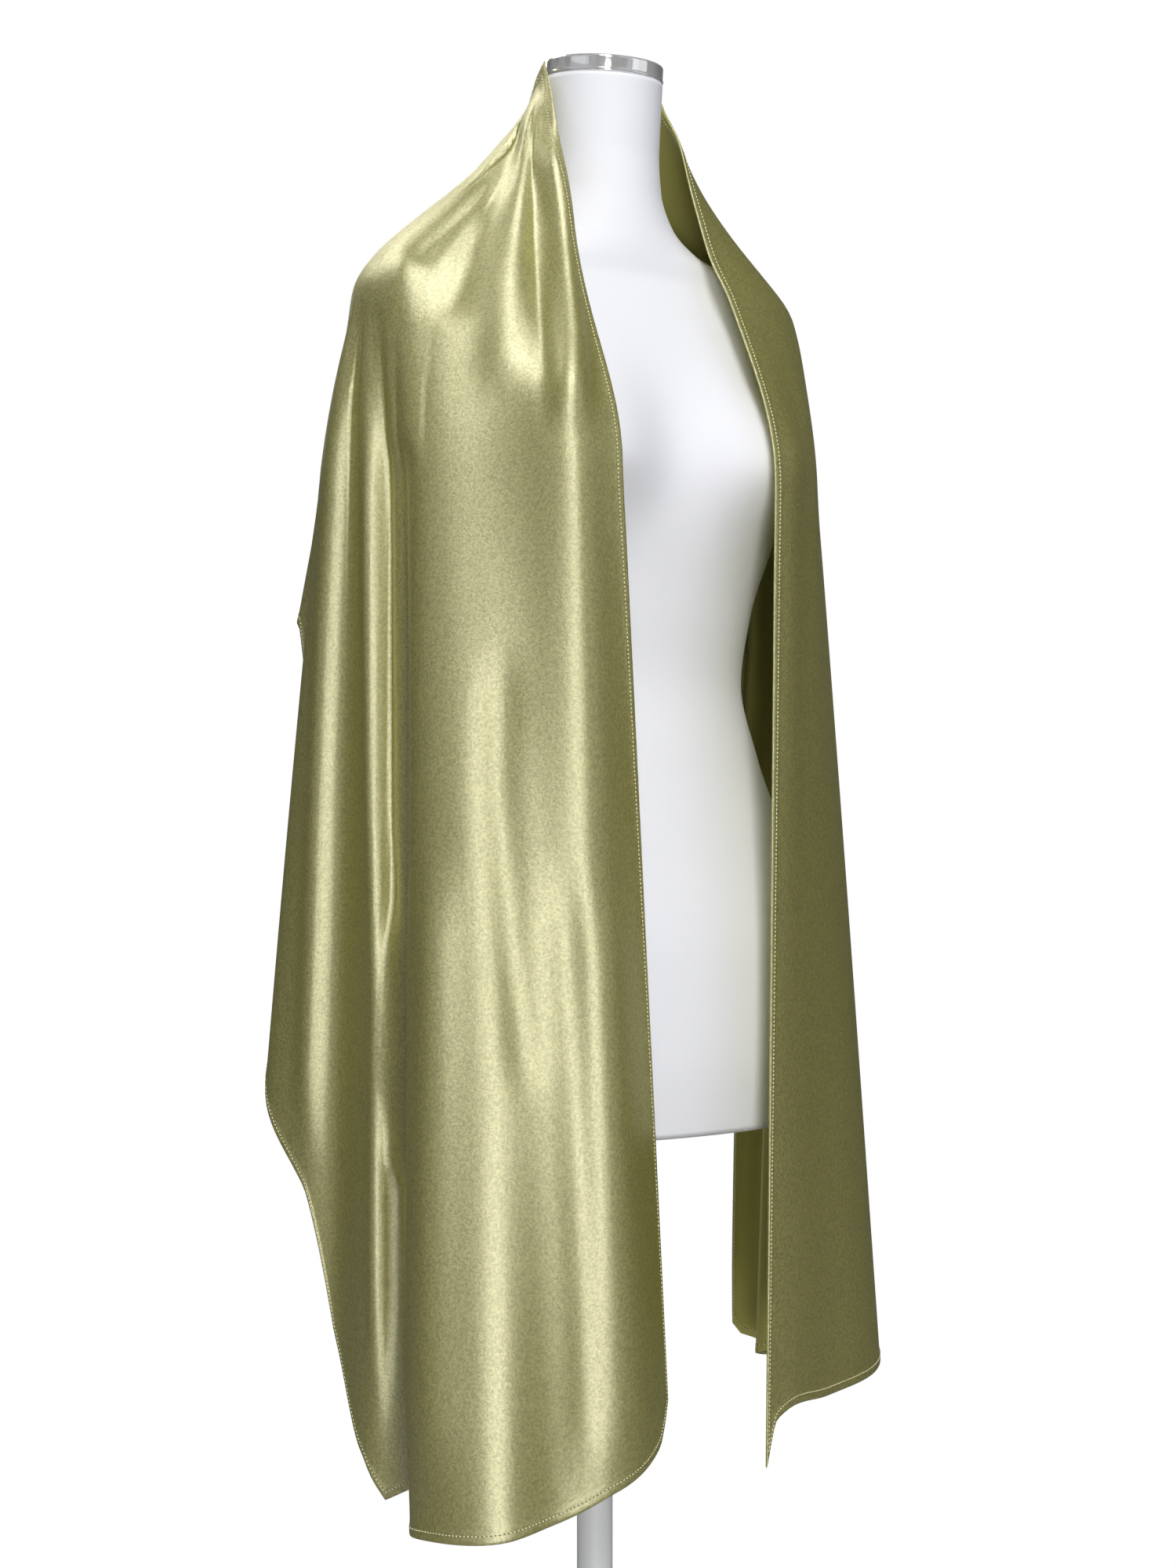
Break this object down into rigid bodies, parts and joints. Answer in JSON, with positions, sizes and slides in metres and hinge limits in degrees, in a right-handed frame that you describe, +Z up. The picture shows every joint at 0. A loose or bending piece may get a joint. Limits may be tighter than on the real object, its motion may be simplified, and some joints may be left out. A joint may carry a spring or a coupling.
{
  "type": "evening stole on a dress form",
  "caption": "Long satin evening stole draped over the shoulders of a limbless dress form on a pole and round base.",
  "frame": {"origin": "middle of the flat underside of the stand's base, on the pole's axis", "axes": "+Z up along the pole; the form faces -Y; the form's right side is at -X"},
  "size_m": [0.4269, 0.34, 1.4646],
  "materials": {
    "satin": "glossy olive green satin",
    "jersey": "smooth matte white jersey",
    "chrome": "polished",
    "white_paint": "white powder coat"
  },
  "bodies": {
    "root": {"stole_right_front": "satin", "stole_back": "satin", "stole_left_front": "satin", "dress_form": "jersey", "neck_cap": "chrome", "stand_pole": "white_paint", "pole_flange": "white_paint", "stand_base": "white_paint"}
  },
  "joints": []
}
